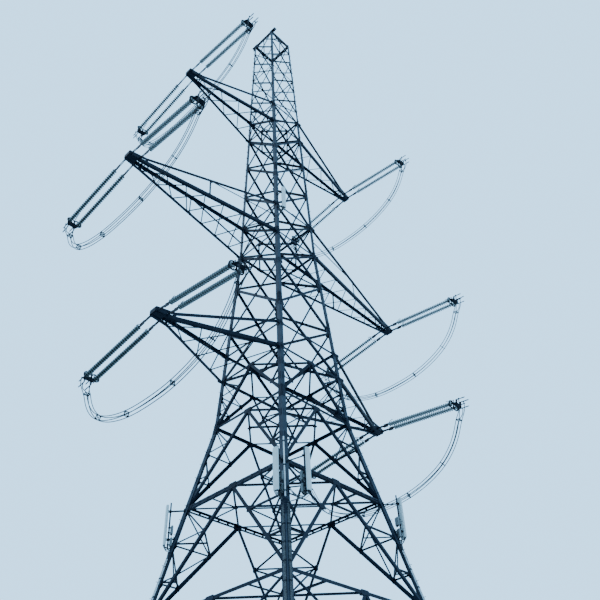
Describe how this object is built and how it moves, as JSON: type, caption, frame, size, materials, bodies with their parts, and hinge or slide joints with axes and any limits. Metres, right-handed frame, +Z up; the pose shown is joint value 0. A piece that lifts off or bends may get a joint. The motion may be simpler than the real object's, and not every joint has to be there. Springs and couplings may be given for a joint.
{
  "type": "lattice transmission pylon, 1:2 scale model",
  "caption": "Self-supporting steel lattice tower for overhead lines: splayed braced legs, tapering crossed body, three pairs of crossarms, paired tension strings and jumper loops.",
  "frame": {"origin": "on the ground at the centre of the four feet", "axes": "+Z up the tower, X along the crossarms, Y along the line"},
  "size_m": [13.19, 7.5906, 33.345],
  "materials": {
    "antenna_shell": "pale grey-green radome plastic",
    "concrete": "cast concrete, pale grey",
    "conductor": "stranded aluminium, weathered grey",
    "fitting_steel": "galvanised forged fittings, dull",
    "lattice_steel": "weathered hot-dip galvanised angle, darker",
    "leg_steel": "weathered hot-dip galvanised angle, dull blue grey",
    "string_glass": "toughened glass discs, teal green, with dark iron caps"
  },
  "bodies": {
    "root": {"antenna_mounts": "lattice_steel", "cage_bracing_back": "lattice_steel", "cage_bracing_front": "lattice_steel", "cage_bracing_left": "lattice_steel", "cage_bracing_right": "lattice_steel", "crossarm_tips": "lattice_steel", "ground_belt": "lattice_steel", "leg_back_left": "leg_steel", "leg_back_right": "leg_steel", "leg_bracing_back_left": "lattice_steel", "leg_bracing_back_right": "lattice_steel", "leg_bracing_front_left": "lattice_steel", "leg_bracing_front_right": "lattice_steel", "leg_front_left": "leg_steel", "leg_front_right": "leg_steel", "lower_arm_belts": "lattice_steel", "lower_belt": "lattice_steel", "lower_jumpers": "conductor", "lower_left_crossarm_plan": "lattice_steel", "lower_left_crossarm_sides": "lattice_steel", "lower_left_insulator_strings": "string_glass", "lower_right_crossarm_plan": "lattice_steel", "lower_right_crossarm_sides": "lattice_steel", "lower_right_insulator_strings": "string_glass", "lower_string_fittings": "fitting_steel", "middle_arm_belts": "lattice_steel", "middle_jumpers": "conductor", "middle_left_crossarm_plan": "lattice_steel", "middle_left_crossarm_sides": "lattice_steel", "middle_left_insulator_strings": "string_glass", "middle_right_crossarm_plan": "lattice_steel", "middle_right_crossarm_sides": "lattice_steel", "middle_right_insulator_strings": "string_glass", "middle_string_fittings": "fitting_steel", "node_belts": "lattice_steel", "panel_antennas": "antenna_shell", "pier_back_left": "concrete", "pier_back_right": "concrete", "pier_front_left": "concrete", "pier_front_right": "concrete", "shaft_bracing_back": "lattice_steel", "shaft_bracing_front": "lattice_steel", "shaft_bracing_left": "lattice_steel", "shaft_bracing_right": "lattice_steel", "shoe_plates": "leg_steel", "throat_bracing_back": "lattice_steel", "throat_bracing_front": "lattice_steel", "throat_bracing_left": "lattice_steel", "throat_bracing_right": "lattice_steel", "top_frame": "lattice_steel", "upper_arm_belts": "lattice_steel", "upper_jumpers": "conductor", "upper_left_crossarm_plan": "lattice_steel", "upper_left_crossarm_sides": "lattice_steel", "upper_left_insulator_strings": "string_glass", "upper_right_crossarm_plan": "lattice_steel", "upper_right_crossarm_sides": "lattice_steel", "upper_right_insulator_strings": "string_glass", "upper_string_fittings": "fitting_steel", "waist_belt": "lattice_steel"}
  },
  "joints": []
}
